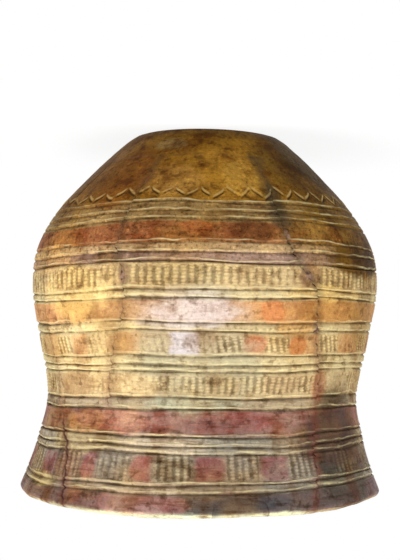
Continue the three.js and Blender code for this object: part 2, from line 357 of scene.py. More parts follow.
def finished_mesh(mesh, marks):
    """The mesh as an object, smooth but for its fracture edges, with its marks as attributes."""
    for mark, values in marks.items():
        attribute = mesh.attributes.new(mark, "FLOAT", "POINT")
        attribute.data.foreach_set("value", np.asarray(values, np.float32))
    bm = bmesh.new()
    bm.from_mesh(mesh)
    bmesh.ops.recalc_face_normals(bm, faces=bm.faces[:])
    for face in bm.faces:
        face.smooth = True
    for edge in bm.edges:
        edge.smooth = edge.calc_face_angle(0) < math.radians(55)
    bm.to_mesh(mesh)
    bm.free()
    made = bpy.data.objects.new(mesh.name, mesh)
    bpy.context.scene.collection.objects.link(made)
    return made


# The mesh of a sherd: the distance between its columns, the places of the closer ones by its edges, and
# the turns of the rows that take the lip over to its middle.
COLUMN = 0.48
EDGE_COLUMNS = np.cumsum([0, 0.12, 0.14, 0.18, 0.25, 0.31])
LIP_TURNS = np.radians([9, 18, 27, 36, 45, 54, 63, 71, 79, 86])

# The level of the lip's chip at its lowest, and the distances that stand for no break and no cut near by.
NOTCH_BASE = 129.1
NO_BREAK, NO_CUT = 99, 9


def columns_across(width):
    """Places across a sherd as shares of its width: even in the middle, closer together by its edges."""
    last = EDGE_COLUMNS[-1]
    middle = np.linspace(last, width - last, max(2, round((width - 2 * last) / COLUMN)))
    return np.concatenate([EDGE_COLUMNS[:-1], middle, (width - EDGE_COLUMNS[:-1])[::-1]]) / width


def sherd(name, low, high, left, right, shows, lift=0.0, stand=0.0, tint=0.0, notch=None, floor=None):
    """One sherd of the wall, from the level of one coil join to the next, or to the lip. lift and stand are
    how far it was glued out of true, up and outwards. notch and floor give the line of the lip's chip."""
    lip = high >= HEIGHT
    middle = (low + min(high, RIM_HEIGHT)) / 2
    width = np.radians(angle_at(right, middle) - angle_at(left, middle)) * outer_radius(middle)
    columns = columns_across(width)
    levels = rows_between(low, min(high, RIM_HEIGHT))
    turns = np.zeros_like(levels)
    if lip:
        turns = np.concatenate([turns, LIP_TURNS])
        levels = np.concatenate([levels, np.full(len(LIP_TURNS), RIM_HEIGHT)])

    def shape(u, v, deep):
        row = np.rint(v * (len(levels) - 1)).astype(int)
        level, turn = levels[row], turns[row]
        across = columns[np.rint(u * (len(columns) - 1)).astype(int)]
        start, end = angle_at(left, level), angle_at(right, level)
        angle = start + (end - start) * across
        cut = 0 * level
        crack = np.full_like(level, NO_BREAK)
        if floor is not None:
            bottom = np.minimum(floor(angle), RIM_HEIGHT - 0.05)
            level = bottom + (level - low) * (RIM_HEIGHT - bottom) / (RIM_HEIGHT - low)
            crack = level - bottom
        if notch is not None:
            cap = notch(angle)
            cut = np.where(cap < RIM_HEIGHT, 1.0, 0.0)
            squeezed = NOTCH_BASE + (level - NOTCH_BASE) * (cap - NOTCH_BASE) / (RIM_HEIGHT - NOTCH_BASE)
            level = np.where((cut > 0) & (level > NOTCH_BASE), squeezed, level)
            crack = np.where(cut > 0, cap - level, crack)
        ends = np.clip((level - low) / 2.5, 0, 1) * np.clip((min(high, RIM_HEIGHT) - level) / 2.5, 0, 1)
        height = level + drift(angle, level, FOOT_JOIN, RIM_HEIGHT) + lift * ends
        raised = lip_rise(angle) * np.clip((level - 114) / 20, 0, 1) ** 1.5
        outside, inner = outer_radius(height), inner_radius(height)
        tilt = widening(height)
        scale = np.hypot(1, tilt)
        half = (outside - inner) / 2
        depth, bed, burr = rings(angle, level)
        bead, stamp = combed(angle, level)
        above_cut, drawn = zigzag(angle, level)
        cut_bed = 0.34 * np.exp(-((above_cut / 0.34) ** 2))
        cut_burr = 0.14 * np.exp(-(((above_cut + 0.75) / 0.35) ** 2))
        depth = depth + drawn * (cut_bed - cut_burr) + 0.16 * stamp - 0.36 * bead
        from_left = (angle - start) * np.radians(1) * outside
        from_right = (end - angle) * np.radians(1) * outside
        edge = np.minimum(np.minimum(from_left, from_right), crack)
        seam = np.where(from_left < from_right, shows[0], shows[1])
        here = on_pot(angle, outside, height)
        worn = np.clip(0.55 + 0.6 * clouds(here, 6, 51), 0.1, 1)
        tight = np.clip(np.abs(level - 52) / 10, 0.25, 1)
        opened = 0.28 * seam * worn * tight * np.exp(-((edge / 0.42) ** 2))
        settled = stand * np.clip((level - FOOT_JOIN) / 6, 0, 1)
        inside_work = 0.25 * clouds(here, 17, 21) + 0.08 * clouds(here, 4, 22)
        outside_work = handwork(angle, height) - depth + settled - opened
        push = np.where(deep, inside_work, outside_work) * np.cos(turn)
        sideways = np.where(deep, -push, push) / scale + np.where(deep, half, -half) * (1 - np.cos(turn))
        radius = np.where(deep, inner, outside) + sideways
        lip_work = 0.3 * clouds(here, 9, 31) + 0.12 * clouds(here, 2.5, 32)
        rise = (LIP_ROUND + lip_work) * np.sin(turn) * (1 - cut)
        z = height + raised + rise + np.where(deep, push, -push) * tilt / scale
        upper, lower = in_groups(angle, groups_high, 4.0), in_groups(angle, groups_low, 3.0)
        marks = {
            "level": level + 3 * np.sin(turn) * (1 - cut),
            "turn": angle,
            "edge": edge,
            "seam": seam,
            "inner": deep * np.cos(turn),
            "bed": np.where(deep, 0, bed * np.cos(turn)),
            "burr": np.where(deep, 0, burr * np.cos(turn)),
            "bead": np.where(deep, 0, bead),
            "stamp": np.where(deep, 0, stamp),
            "above_cut": np.where(deep, NO_CUT, above_cut),
            "drawn": np.where(deep, 0, drawn),
            "group": np.where(level > UPPER_JOIN, upper, lower),
            "tint": 0 * level + tint,
        }
        return on_pot(angle, radius, z), marks

    return bent_block(name, len(columns) - 1, len(levels) - 1, shape)


# The clay's finish. Local clay fired in an open hearth: ochre, orange and red where the air reached it,
# olive and near black where it smoked, each band rubbed to its own tone with a pebble. The marks hold
# dark soil and painted shade, the burrs beside them are worn pale with painted highlights, and the whole is
# semi-matt.
def colour(red, green, blue):
    """A colour as it is seen, from 0 to 255, made ready for the shader."""
    return tuple(((c / 255 + 0.055) / 1.055) ** 2.4 for c in (red, green, blue)) + (1,)


class Wire:
    """A socket in a material, so that shader maths can be written as sums."""

    def __init__(self, tree, socket):
        self.tree = tree
        self.socket = socket

    def maths(self, operation, a, b=0.0):
        return add_node(self.tree, "ShaderNodeMath", {"operation": operation}, 0, **{"0": a, "1": b})

    def __add__(self, other):
        return self.maths("ADD", self, other)

    def __sub__(self, other):
        return self.maths("SUBTRACT", self, other)

    def __mul__(self, other):
        return self.maths("MULTIPLY", self, other)

    def __truediv__(self, other):
        return self.maths("DIVIDE", self, other)

    def __pow__(self, other):
        return self.maths("POWER", self, other)

    def __rsub__(self, other):
        return self.maths("SUBTRACT", other, self)

    __radd__ = __add__
    __rmul__ = __mul__

    def __abs__(self):
        return self.maths("ABSOLUTE", self)

    def held(self, low=0.0, high=1.0):
        """Kept between low and high."""
        return self.maths("MINIMUM", self.maths("MAXIMUM", self, low), high)

    def step(self, low, high):
        """0 below low and 1 above high, smoothly."""
        settings = {"interpolation_type": "SMOOTHSTEP"}
        inputs = {"Value": self, "From Min": low, "From Max": high}
        return add_node(self.tree, "ShaderNodeMapRange", settings, **inputs)

    def within(self, low, high, soft=0.4):
        """1 between low and high, and 0 past them."""
        return self.step(low - soft, low + soft) * (1.0 - self.step(high - soft, high + soft))


def add_node(tree, kind, settings=None, out=0, **inputs):
    """One node: its settings first, then the value or link of each socket, by name or number."""
    made = tree.nodes.new(kind)
    for key, value in (settings or {}).items():
        if key == "stops":
            while len(made.color_ramp.elements) < len(value):
                made.color_ramp.elements.new(0.5)
            for element, (place, tone) in zip(made.color_ramp.elements, value):
                element.position = place
                element.color = tone
        elif key == "interpolation":
            made.color_ramp.interpolation = value
        else:
            setattr(made, key, value)
    for key, value in inputs.items():
        socket = made.inputs[int(key)] if key.isdigit() else made.inputs[key]
        if isinstance(value, Wire):
            tree.links.new(value.socket, socket)
        else:
            socket.default_value = value
    return Wire(tree, made.outputs[out])


def mixed(factor, a, b, how="MIX"):
    """Colour b over colour a by a factor."""
    tree = next(w.tree for w in (factor, a, b) if isinstance(w, Wire))
    settings = {"data_type": "RGBA", "blend_type": how}
    return add_node(tree, "ShaderNodeMix", settings, 2, **{"0": factor, "6": a, "7": b})


BROWN = (160, 114, 35)
TAN, OCHRE, STRAW = (170, 150, 122), (202, 175, 130), (210, 189, 144)
RED, ROSE, CRIMSON = (153, 97, 58), (157, 117, 107), (150, 81, 91)
ORANGE, PURPLE, LILAC, SLATE = (204, 134, 84), (146, 117, 103), (200, 190, 196), (76, 70, 62)

# Each band of the wall from the foot upwards: the level where it starts, and its tone.
bands = [
    (0, BROWN), (22, (154, 109, 37)), (29.4, (158, 127, 80)), (37.2, RED), (43.8, (186, 153, 112)),
    (47.4, PURPLE), (50.9, OCHRE), (59.7, STRAW), (63.8, (205, 152, 102)), (71, STRAW), (75.1, OCHRE),
    (82.5, STRAW), (88.8, (196, 170, 128)), (96.9, TAN), (101.3, ROSE), (109.6, (171, 156, 138)),
    (116.4, (147, 134, 120)), (125.2, (162, 149, 135)), (128.6, (131, 109, 109)), (135, (182, 156, 122)),
]
BANDS_END = 140.0


def clay(name):
    """The fired clay as a material: tones by band and side, marks, soil and painted shade, wear and painted
    highlights, painted sheen, grain and sheen.
    """
    made = bpy.data.materials.new(name)
    made.use_nodes = True
    tree = made.node_tree
    shader = tree.nodes["Principled BSDF"]
    spot = add_node(tree, "ShaderNodeTexCoord", None, "Object")

    def mark(which):
        return add_node(tree, "ShaderNodeAttribute", {"attribute_name": which}, "Fac")

    def noise(scale, detail=4.0, rough=0.55, upwards=1.0):
        place = add_node(tree, "ShaderNodeMapping", None, 0, Vector=spot, Scale=(1, 1, upwards))
        inputs = {"Vector": place, "Scale": scale, "Detail": detail, "Roughness": rough}
        return add_node(tree, "ShaderNodeTexNoise", None, "Fac", **inputs)

    level, turn, edge, seam = mark("level"), mark("turn"), mark("edge"), mark("seam")
    bed, burr, group, inner, tint = mark("bed"), mark("burr"), mark("group"), mark("inner"), mark("tint")
    bead, stamp, above_cut, drawn = mark("bead"), mark("stamp"), mark("above_cut"), mark("drawn")

    broad = noise(34.0, 3.0)
    mottle = noise(105.0, 5.0, 0.6)
    blotch = noise(270.0, 4.0, 0.6)
    grain = noise(820.0, 4.0, 0.7)
    streaks = noise(75.0, 5.0, 0.65, 7.0)
    hairs = noise(240.0, 4.0, 0.7, 6.0)

    ragged = level + (blotch - 0.5) * 0.9
    stops = [(start / BANDS_END, colour(*tone)) for start, tone in bands]
    ramp = {"stops": stops, "interpolation": "CONSTANT"}
    tone = add_node(tree, "ShaderNodeValToRGB", ramp, "Color", Fac=(ragged / BANDS_END).held())

    # Plain panels among the comb work: orange low down and crimson under the lip, rubbed unevenly.
    low_band, high_band = level.within(75.0, 82.4), level.within(116.6, 125.0)
    plain = 1.0 - (group + (blotch - 0.5) * 0.8 + (mottle - 0.5) * 1.4).step(0.1, 0.7)
    rubbed = (mottle + blotch * 0.4).step(0.45, 0.85)
    tone = mixed(low_band * plain * (0.15 + rubbed * 0.45), tone, colour(*ORANGE))
    crimson = 0.1 + (mottle + broad * 0.5).step(0.62, 0.86) * 0.65
    tone = mixed(high_band * plain * crimson, tone, colour(*CRIMSON))

    def patch(angle, height, wide, tall):
        """1 in a rounded patch of the wall, given in degrees and millimetres, with a ragged edge."""
        off = ((turn - angle) / wide) ** 2.0 + ((level - height) / tall) ** 2.0
        return 1.0 - (off + (mottle - 0.5) * 1.8 + (blotch - 0.5) * 0.8).step(0.55, 1.5)

    # Blooms, smoke, stains and darker patches, each in its place, with some painted light among them: a
    # painted highlight along the lip's rounded edge, a painted sheen on the front's middle and a painted
    # highlight on the belly's lilac patch. Each gives the angle and level of its middle, how far it reaches
    # each way in degrees and in millimetres, its strength and its tone.
    for angle, height, wide, tall, strength, shade in (
        (-62, 24, 28, 28, 0.9, (80, 54, 4)),
        (-61, 48.4, 20, 6, 0.95, (66, 40, 8)),
        (-53, 116, 15, 22, 0.75, (72, 64, 52)),
        (-30, 131, 16, 4.5, 0.55, SLATE),
        # Painted highlight: these two pale the lip's rounded edge as lit from above, over clay rubbed pale.
        (13, 137.4, 48, 3.2, 0.85, (222, 220, 186)),
        (62, 137.6, 13, 2.2, 0.6, (206, 200, 160)),
        (-8, 131.6, 17, 3.8, 0.85, (80, 80, 84)),
        (4, 133.6, 12, 1.6, 0.6, (82, 82, 84)),
        (32, 133.4, 18, 1.3, 0.5, (96, 66, 60)),
        (28, 131, 3, 3, 0.5, (164, 62, 54)),
        (40, 130.5, 3, 3, 0.5, (166, 78, 52)),
        (-54, 129, 2.6, 7, 0.55, (88, 50, 36)),
        (52, 120, 1.6, 18, 0.6, (78, 46, 44)),
        (20, 131.6, 15, 3.5, 0.75, (180, 138, 130)),
        (7, 132, 4, 2.5, 0.4, (140, 70, 70)),
        (44, 131.4, 17, 4.5, 0.55, (112, 82, 72)),
        (-44, 120.5, 4.6, 4.6, 0.85, SLATE),
        (-11, 112.6, 20, 4, 0.45, (118, 120, 110)),
        (46, 120.8, 7, 5, 0.45, (156, 108, 74)),
        (13, 113, 15, 4, 0.55, (204, 182, 156)),
        (18.5, 120.8, 3.2, 3.4, 0.5, (166, 84, 80)),
        (9, 121, 7, 5, 0.4, (180, 172, 146)),
        (37.5, 121.4, 2.6, 3.4, 0.5, (166, 84, 74)),
        (-3, 120.6, 4.6, 4, 0.4, (120, 62, 64)),
        (-23, 120.6, 4.2, 4, 0.4, (132, 76, 76)),
        (22, 127, 18, 2.6, 0.5, (196, 172, 144)),
        (60, 126.4, 8, 3, 0.6, (220, 192, 132)),
        (-10, 127, 16, 3, 0.45, (120, 112, 98)),
        (42, 112, 16, 5, 0.4, (190, 160, 90)),
        (-9, 105.2, 15, 3.6, 0.45, (138, 66, 68)),
        (-4, 107, 12, 2.6, 0.35, (122, 100, 92)),
        (29, 105.5, 12, 4, 0.45, (206, 146, 112)),
        (60, 105.5, 12, 5, 0.7, (160, 120, 76)),
        (42, 105.8, 9, 4, 0.5, (172, 106, 52)),
        (-49, 112.5, 18, 8, 0.85, (80, 60, 58)),
        (-57, 105, 14, 5, 0.5, (112, 66, 50)),
        (-50, 108.4, 14, 7, 0.6, (82, 56, 54)),
        (-43, 93, 3.5, 5, 0.5, (160, 84, 60)),
        (-31, 79, 3.4, 3.4, 0.6, (192, 92, 44)),
        (-16, 79, 3.4, 3.2, 0.6, (196, 98, 60)),
        # Painted sheen: these three grey the middle of the front, standing for the cool sheen of the front
        # light.
        (1, 88, 20, 15, 0.55, (168, 160, 134)),
        (4, 72, 18, 13, 0.45, (180, 158, 130)),
        (4, 84.6, 19, 3.2, 0.5, (172, 162, 132)),
        (-9, 49.4, 13, 2.2, 0.5, (184, 152, 134)),
        # Painted sheen: greyer on the middle of the front.
        (3, 99.3, 15, 2.6, 0.65, (176, 176, 152)),
        (31, 73, 11, 2.8, 0.75, (238, 210, 150)),
        # Painted sheen: these two grey and dull the ring either side of the front's middle.
        (14, 73, 6, 2.4, 0.5, (168, 142, 108)),
        (-14, 73, 7, 2.4, 0.4, (172, 146, 104)),
        (45, 85, 9, 3, 0.5, (236, 206, 150)),
        (42, 76, 15, 18, 0.2, (232, 200, 134)),
        (62, 79, 9, 7, 0.5, (178, 140, 84)),
        (49, 93, 9, 4.5, 0.55, (156, 116, 72)),
        (24, 93.5, 12, 4, 0.45, (240, 206, 150)),
        (-27, 92, 7, 4, 0.4, (152, 122, 92)),
        (27, 79, 5, 4, 0.5, (176, 126, 76)),
        # Painted highlight: these two paint the front light's sheen on a pale lilac patch of the belly.
        (3, 67.3, 12, 6, 0.5, (218, 206, 210)),
        (7, 67.3, 19, 7, 0.3, (220, 204, 200)),
        (-42, 67.3, 16, 4.5, 0.5, (188, 130, 64)),
        (30, 67.3, 8, 4.5, 0.6, (168, 122, 76)),
        (-21, 67.3, 4, 4, 0.5, (214, 118, 62)),
        (26, 67.3, 7, 4.5, 0.6, (186, 142, 92)),
        (46, 67.3, 9, 4.5, 0.5, (208, 160, 92)),
        (-63, 67, 8, 13, 0.55, (132, 94, 44)),
        (-42, 61.5, 17, 3, 0.65, (236, 198, 124)),
        # Painted sheen: greyer on the middle of the front.
        (0, 61.8, 9, 2.6, 0.55, (180, 166, 138)),
        (36, 61.4, 14, 2.6, 0.55, (252, 222, 150)),
        (62, 48, 14, 5, 0.45, (214, 170, 108)),
        (44, 60, 18, 8, 0.4, (232, 196, 122)),
        (-30, 73, 7, 2.6, 0.6, (204, 146, 84)),
        (8, 56, 12, 4, 0.3, (150, 140, 110)),
        (-33, 55.5, 4, 4.6, 0.65, (128, 86, 70)),
        (24.5, 55, 2, 4, 0.5, (120, 80, 70)),
        (-37, 40.5, 13, 4.6, 0.8, (156, 116, 60)),
        (-14, 40.5, 7, 4, 0.8, (100, 58, 30)),
        (-33, 42, 4.5, 2.6, 0.4, (160, 116, 66)),
        (3, 39.5, 5, 2.6, 0.55, (190, 108, 62)),
        (34, 41, 14, 4, 0.4, (142, 88, 58)),
        (-25, 34, 4.6, 7, 0.65, (74, 60, 42)),
        (-29.5, 36, 5, 3.6, 0.6, (88, 68, 52)),
        (-25, 29, 3, 7, 0.75, (72, 58, 38)),
        (-22, 19, 2.4, 9, 0.6, (84, 66, 34)),
        (-8, 19, 16, 10, 0.35, (196, 142, 54)),
        (-14, 20, 7, 7, 0.4, (204, 158, 72)),
        (15, 22, 12, 6, 0.7, (192, 142, 70)),
        (30, 21, 6, 5, 0.5, (172, 118, 62)),
        (36, 20, 13, 12, 0.75, (106, 50, 12)),
        (60, 18, 16, 16, 0.65, (96, 58, 20)),
        (-44, 13, 22, 10, 0.5, (78, 58, 22)),
        (21, 7, 10, 2.5, 0.5, (142, 132, 96)),
        (0, 2, 60, 2.4, 0.35, (92, 70, 36)),
        (31, 49.3, 6, 2.4, 0.7, (98, 68, 46)),
        (150, 30, 30, 16, 0.6, (80, 54, 32)),
        (215, 84, 26, 20, 0.5, (104, 76, 48)),
        (100, 112, 24, 14, 0.4, (120, 72, 50)),
        (185, 122, 30, 9, 0.5, (82, 70, 62)),
        (262, 60, 24, 16, 0.4, (176, 110, 62)),
    ):
        tone = mixed(patch(angle, height, wide, tall) * strength, tone, colour(*shade))

    # The red slip of the neck, the lip and the low red band is worn into streaks, some bare and greyish.
    neck, lip, low_red = level.within(101.6, 109.5), level.within(128.8, 135.6), level.within(37.2, 43.6)
    slipped = (neck + lip * 0.5 + low_red * 0.6).held()
    thick = (mottle * 0.7 + hairs * 0.5).step(0.58, 0.74)
    thin = 1.0 - (mottle * 0.6 + hairs * 0.6).step(0.46, 0.6)
    tone = mixed(slipped * thick * 0.5, tone, colour(262, 176, 160), "MULTIPLY")
    tone = mixed(slipped * thin * 0.4, tone, colour(262, 290, 290), "MULTIPLY")

    # One panel of the belly is rubbed pale and lilac, with a painted highlight of the front light's sheen
    # on it.
    pale_panel_and_sheen = level.within(75.2, 82.2) * plain * (1.0 - abs(turn - 5.5).step(4.5, 8.0))
    # Painted highlight: the panel's pale lilac carries the front light's sheen as well as rubbing.
    tone = mixed(pale_panel_and_sheen * (0.9 - rubbed * 0.35), tone, colour(*LILAC))

    # Uneven firing and rubbing at every scale, down to the grit in the clay. The belly is calmer, and the
    # flank under the zigzag was rubbed smoother and is smoked in patches.
    tone = mixed(broad.step(0.45, 0.62) * 0.3, tone, colour(*BROWN))
    calm = level.within(52.0, 98.0, 2.0)
    darker = mottle.step(0.5, 0.66) * (0.6 - calm * 0.12)
    tone = mixed(darker, tone, colour(164, 128, 92), "MULTIPLY")
    lighter = (1.0 - mottle.step(0.34, 0.48)) * (0.5 - calm * 0.25)
    tone = mixed(lighter, tone, colour(292, 290, 276), "MULTIPLY")
    rubbed_flank = 1.0 - level.step(21.0, 30.0)
    streaked = streaks.step(0.5, 0.66) * (0.55 - calm * 0.2 - rubbed_flank * 0.25)
    tone = mixed(streaked, tone, colour(156, 124, 92), "MULTIPLY")
    tone = mixed(blotch.step(0.54, 0.66) * 0.6, tone, colour(150, 132, 112), "MULTIPLY")
    scraped = hairs.step(0.56, 0.7) * (0.6 - calm * 0.25 - rubbed_flank * 0.25)
    tone = mixed(scraped, tone, colour(320, 316, 300), "MULTIPLY")
    smoked = rubbed_flank * (broad * 0.6 + mottle * 0.4).step(0.46, 0.6) * 0.4
    tone = mixed(smoked, tone, colour(158, 112, 84), "MULTIPLY")
    gritty = 0.75 - level.step(44.0, 62.0) * 0.4 - rubbed_flank * 0.2
    tone = mixed(grain.step(0.53, 0.66) * gritty, tone, colour(140, 124, 104), "MULTIPLY")
    tone = mixed((1.0 - grain.step(0.34, 0.45)) * gritty, tone, colour(330, 326, 310), "MULTIPLY")
    shade = mixed(tint, colour(206, 210, 200), (1, 1, 1, 1))
    tone = mixed(1.0, tone, shade, "MULTIPLY")

    # The comb's marks: soil and painted shade in the holes of the teeth, and pale beads of clay between
    # them, rubbed and with a painted highlight.
    hole = (stamp - bead * 1.2 + (grain - 0.5) * 0.5).step(0.25, 0.85)
    # Painted shade: the holes of the teeth are darkened as well as soiled.
    soil_and_shade_in_holes = hole * stamp * (0.32 + mottle * 0.5)
    tone = mixed(soil_and_shade_in_holes, tone, colour(152, 144, 118), "MULTIPLY")
    # Painted highlight: the beads are painted paler as well as rubbed.
    bead_wear_and_highlight = (bead + (grain - 0.5) * 0.4).step(0.4, 0.85)
    tone = mixed(bead_wear_and_highlight * 0.45, tone, colour(320, 320, 300), "MULTIPLY")

    # The zigzag's cuts, dark in their beds with soil and painted shade, and pale on their lower burrs with
    # a painted highlight, as lit from above.
    cut_soil_and_shade = (1.0 - abs(above_cut + (grain - 0.5) * 0.3).step(0.12, 0.5)) * drawn
    side = (1.0 - abs(above_cut + 0.72).step(0.1, 0.5)) * drawn
    # Painted shade: the cut beds are darkened as well as soiled.
    tone = mixed(cut_soil_and_shade * 0.85, tone, colour(46, 34, 16))
    # Painted highlight: the lower burrs of the cuts are painted pale as lit from above.
    tone = mixed(side * (0.15 + hairs * 0.65), tone, colour(204, 176, 114))

    # Soil and painted shade in the beds of the rings; pale burrs beside them, worn and with a painted
    # highlight as lit from above, the lower burr more; and a darker patch over both on the neck's left.
    soil_and_shade = (bed + (blotch - 0.5) * 0.5 + (grain - 0.5) * 0.3).step(0.3, 0.85)
    # Painted shade: the ring beds are darkened as well as soiled.
    tone = mixed((soil_and_shade * (0.2 + mottle * 0.9)).held(0.0, 0.8), tone, colour(66, 50, 30))
    patchy = 0.2 + 0.8 * (hairs + mottle - 0.5).step(0.3, 0.75)
    # Painted highlight: the burrs are painted pale as if lit from above, more on the lower burr, as well as
    # worn.
    worn = (burr + (blotch - 0.5) * 0.5).step(0.3, 0.9) * patchy
    tone = mixed(worn * 0.58, tone, colour(222, 208, 156))
    # A darker patch over the rings and burrs on the neck's left.
    tone = mixed(patch(-51, 111, 13, 10) * 0.5, tone, colour(72, 60, 56))

    # The breaks: smudged glue and stain beside them, dirt held in their edges, and the dark core of the
    # fracture bare where the lip's right break gapes.
    dirt = 1.0 - (edge + (blotch - 0.5) * 1.2).step(0.05, 0.5)
    smudge = 1.0 - (edge + (mottle - 0.5) * 7.0 + (blotch - 0.5) * 3.0).step(0.0, 3.4)
    stain = mixed(level.step(56.0, 96.0), colour(72, 60, 44), colour(104, 52, 40))
    by_chip = level.step(127.0, 130.0) * (1.0 - abs(turn + 12.0).step(9.0, 12.0))
    stain = mixed(by_chip, stain, colour(54, 48, 50))
    tone = mixed((smudge * seam).held() * 0.45, tone, stain)
    kept_dirt = noise(85.0, 3.0).step(0.46, 0.62) * level.step(52.0, 66.0)
    tone = mixed((dirt * seam * kept_dirt).held() * 0.5, tone, colour(62, 44, 32))
    core = 1.0 - (edge + (blotch - 0.5) * 1.6).step(0.1, 1.0)
    by_lip = turn.within(40.0, 60.0, 2.0) * level.step(99.0, 114.0)
    tone = mixed(core * by_lip * 0.75, tone, colour(62, 38, 34))

    # The inside is plainer, smoked brown, darker towards the bottom.
    bottom = mixed(level.step(10.0, 120.0), colour(84, 60, 40), colour(146, 102, 66))
    within = mixed(mottle.step(0.4, 0.7) * 0.5, bottom, colour(110, 74, 48))
    within = mixed(streaks.step(0.48, 0.7) * 0.5, within, colour(66, 48, 34))
    within = mixed((1.0 - hairs.step(0.36, 0.5)) * 0.35, within, colour(168, 128, 88))
    within = mixed(broad.step(0.42, 0.6) * 0.4, within, colour(92, 62, 42))
    within = mixed(grain.step(0.53, 0.68) * 0.45, within, colour(60, 44, 30))
    tone = mixed(inner.step(0.1, 0.9), tone, within)

    # The clay is nowhere paler than rubbed cream.
    tone = mixed(1.0, tone, colour(208, 202, 195), "DARKEN")

    # The sheen: duller in the marks and inside, and brighter where the pale panels were rubbed.
    rubbed_bright = patch(1, 68, 15, 6) * 0.08 + patch(5, 79, 6, 4) * 0.06
    gloss = 0.47 + (mottle - 0.5) * 0.3 + bed * 0.2 + (grain - 0.5) * 0.3 + inner * 0.15 - rubbed_bright
    skin = grain * 0.16 + hairs * 0.14 + blotch * 0.12 + inner * streaks * 0.3
    normal = add_node(tree, "ShaderNodeBump", None, "Normal", Height=skin, Strength=1.0, Distance=MM)
    tree.links.new(tone.socket, shader.inputs["Base Color"])
    tree.links.new(gloss.held(0.32, 0.95).socket, shader.inputs["Roughness"])
    tree.links.new(normal.socket, shader.inputs["Normal"])
    shader.inputs["Specular IOR Level"].default_value = 0.02
    return made


fired_clay = clay("fired_clay")


def finish_piece(piece, material, slot, *nodes):
    """Gives a piece its material, puts it on the part's body and hides the pieces of the part that it
    stands in for.
    """
    piece.data.materials.append(material)
    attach(piece, "root")
    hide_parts(*nodes)


# The foot. A thick disc of clay pressed flat underneath, turned up at its edge to start the wall; the
# underside is rubbed bare where it stands.
def spun_foot():
    top = FOOT_JOIN
    mouth = float(inner_radius(top))
    cove, steps_round = 9, 300
    underneath = [(r, 0.0) for r in np.linspace(0, FOOT_RADIUS - 0.6, 18)]
    outside = [(float(outer_radius(z)), z) for z in np.linspace(0.3, top, 32)]
    bends = np.linspace(0, math.pi / 2, 12)
    bowl = [(mouth - cove * (1 - math.cos(t)), top + (FLOOR - top) * math.sin(t)) for t in bends]
    bowl += [(r, FLOOR) for r in np.linspace(mouth - cove, 0, 16)[1:]]
    bm = bmesh.new()
    corners = [bm.verts.new((r, 0, z)) for r, z in underneath + outside + bowl]
    sides = [bm.edges.new(pair) for pair in zip(corners, corners[1:])]
    full_turn = {"axis": (0, 0, 1), "angle": 2 * math.pi, "steps": steps_round, "use_merge": True}
    bmesh.ops.spin(bm, geom=corners + sides, cent=(0, 0, 0), **full_turn)
    bmesh.ops.remove_doubles(bm, verts=bm.verts[:], dist=1e-4)
    mesh = bpy.data.meshes.new("foot_sherd_clay")
    bm.to_mesh(mesh)
    bm.free()
    flat = np.empty(len(mesh.vertices) * 3)
    mesh.vertices.foreach_get("co", flat)
    x, y, z = flat.reshape(-1, 3).T
    angle, radius = np.degrees(np.arctan2(x, -y)), np.hypot(x, y)
    outer = (radius > outer_radius(z) - 0.7) & (z > 0.1)
    bare = 0.2 * clouds(on_pot(angle, radius, z), 8, 61)
    tilt = widening(z)
    push = np.where(outer, handwork(angle, z), 0) / np.hypot(1, tilt)
    underside = np.where(radius < FOOT_RADIUS - 2, bare, 0) * (z < 0.1)
    spots = on_pot(angle, radius + push, z - push * tilt + underside)
    spots[:, 2] = np.maximum(spots[:, 2], 0)
    mesh.vertices.foreach_set("co", (spots * MM).astype(np.float32).ravel())
    marks = {
        "level": z,
        "turn": angle,
        "edge": 0 * z + NO_BREAK,
        "inner": (z > FLOOR - 0.5) & ~outer,
        "tint": 0 * z + 0.6,
        **dict.fromkeys(("seam", "bed", "burr", "group"), 0 * z),
    }
    return finished_mesh(mesh, marks)


finish_piece(spun_foot(), fired_clay, "burnished_clay", "foot_sherd")

# The wall sherds, tier by tier: the flank up to the first coil join, the belly up to the second, and the
# neck with the lip. Each has its own slight lift and stand, as glued sherds never meet quite true. shows_of
# says how strongly each kind of break shows, from 0 to 1.
shows_of = {"left": 1.0, "right": 0.75, "rim_right": 0.95, "edge": 0.4, "plain": 0.6}

# Each tier: its lowest and highest level, and each sherd's side of the pot with its left break and the
# kind of that break.
tiers = {
    "lower": (
        FOOT_JOIN,
        LOWER_JOIN,
        [
            ("front", left_break, "left"),
            ("front_right", right_break, "right"),
            ("right", edge_break, "edge"),
            ("back", plain_break(131, 137), "plain"),
            ("back_left", plain_break(212, 204), "plain"),
            ("left", plain_break(262, 267), "plain"),
        ],
    ),
    "belly": (
        LOWER_JOIN,
        UPPER_JOIN,
        [
            ("front", left_break, "left"),
            ("front_right", right_break, "right"),
            ("right", edge_break, "edge"),
            ("back_right", plain_break(121, 114), "plain"),
            ("back_left", plain_break(174, 183), "plain"),
            ("left", plain_break(249, 246), "plain"),
        ],
    ),
    "rim": (
        UPPER_JOIN,
        HEIGHT,
        [
            ("front", left_break, "left"),
            ("right", rim_right_break, "rim_right"),
            ("back_right", plain_break(104, 112), "plain"),
            ("back_left", plain_break(176, 168), "plain"),
            ("left", plain_break(252, 258), "plain"),
        ],
    ),
}

# The lift, stand and tint of each sherd, by its side of the pot.
glued = {
    "front": (0.0, 0.05, 0.6),
    "front_right": (0.45, -0.07, 0.9),
    "right": (0.25, 0.04, 0.4),
    "back": (-0.3, 0.0, 0.2),
    "back_right": (-0.2, -0.05, 0.7),
    "back_left": (0.3, 0.05, 0.0),
    "left": (-0.55, -0.08, 0.45),
}

# The chip. A small flake of the lip's clay that came away in front and was glued back into its notch. Its
# lower outline is given as angles and heights; past its ends the line lies far over the lip.
chip_outline = [(-21, 139), (-19, 131.2), (-13.5, 129.8), (-8, 129.2), (-3.7, 132.6), (-2.5, 139)]
PAST_THE_CHIP = 999


